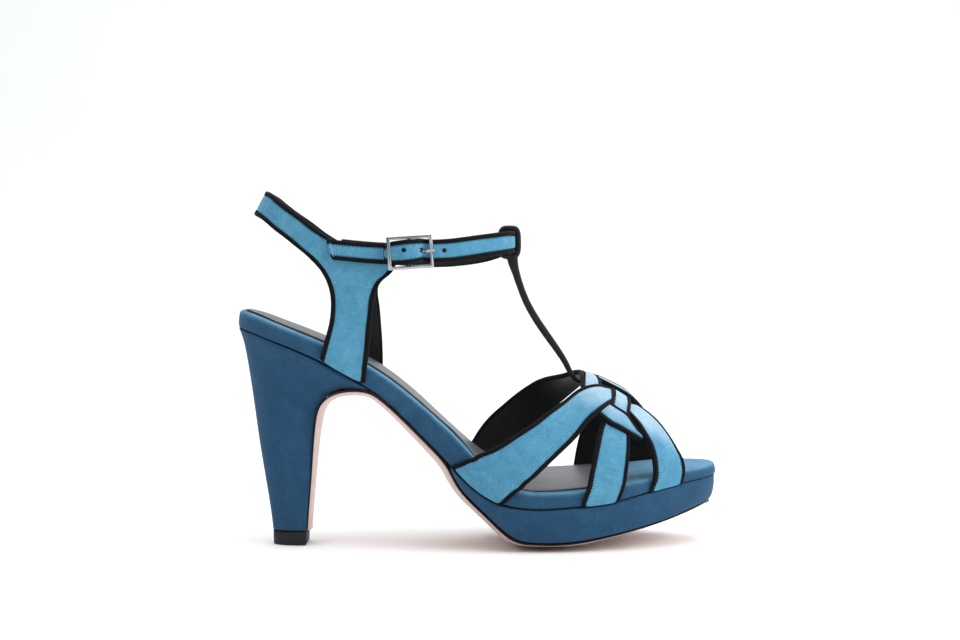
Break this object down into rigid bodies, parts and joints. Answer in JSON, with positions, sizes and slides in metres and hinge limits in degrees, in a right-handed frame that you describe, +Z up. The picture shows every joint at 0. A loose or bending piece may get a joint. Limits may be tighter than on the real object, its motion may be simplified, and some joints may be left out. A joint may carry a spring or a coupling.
{
  "type": "heeled t-strap sandal",
  "caption": "Heeled T-strap platform sandal for the right foot, with crossed suede forefoot straps, an open toe and a buckled ankle strap.",
  "frame": {"origin": "middle of the bounding box in plan, on the floor the sandal stands on", "axes": "+X from the heel to the toe, +Y to the inner side of the foot, +Z up"},
  "size_m": [0.2188, 0.0855, 0.1623],
  "materials": {
    "ankle_strap": "napped suede",
    "buckle_frame": "polished",
    "buckle_prong": "polished",
    "buckle_tab": "napped suede",
    "heel": "suede wrap over a moulded block",
    "insole": "suede wrap over a board",
    "outsole": "smooth",
    "platform": "suede wrap over a moulded block",
    "quarter": "napped suede",
    "t_strap": "smooth",
    "top_lift": "matte",
    "vamp": "napped suede"
  },
  "bodies": {
    "root": {"ankle_strap": "ankle_strap", "buckle_frame": "buckle_frame", "buckle_prong": "buckle_prong", "buckle_tab": "buckle_tab", "heel": "heel", "insole": "insole", "outsole": "outsole", "platform": "platform", "quarter": "quarter", "t_strap": "t_strap", "top_lift": "top_lift", "vamp": "vamp"}
  },
  "joints": []
}
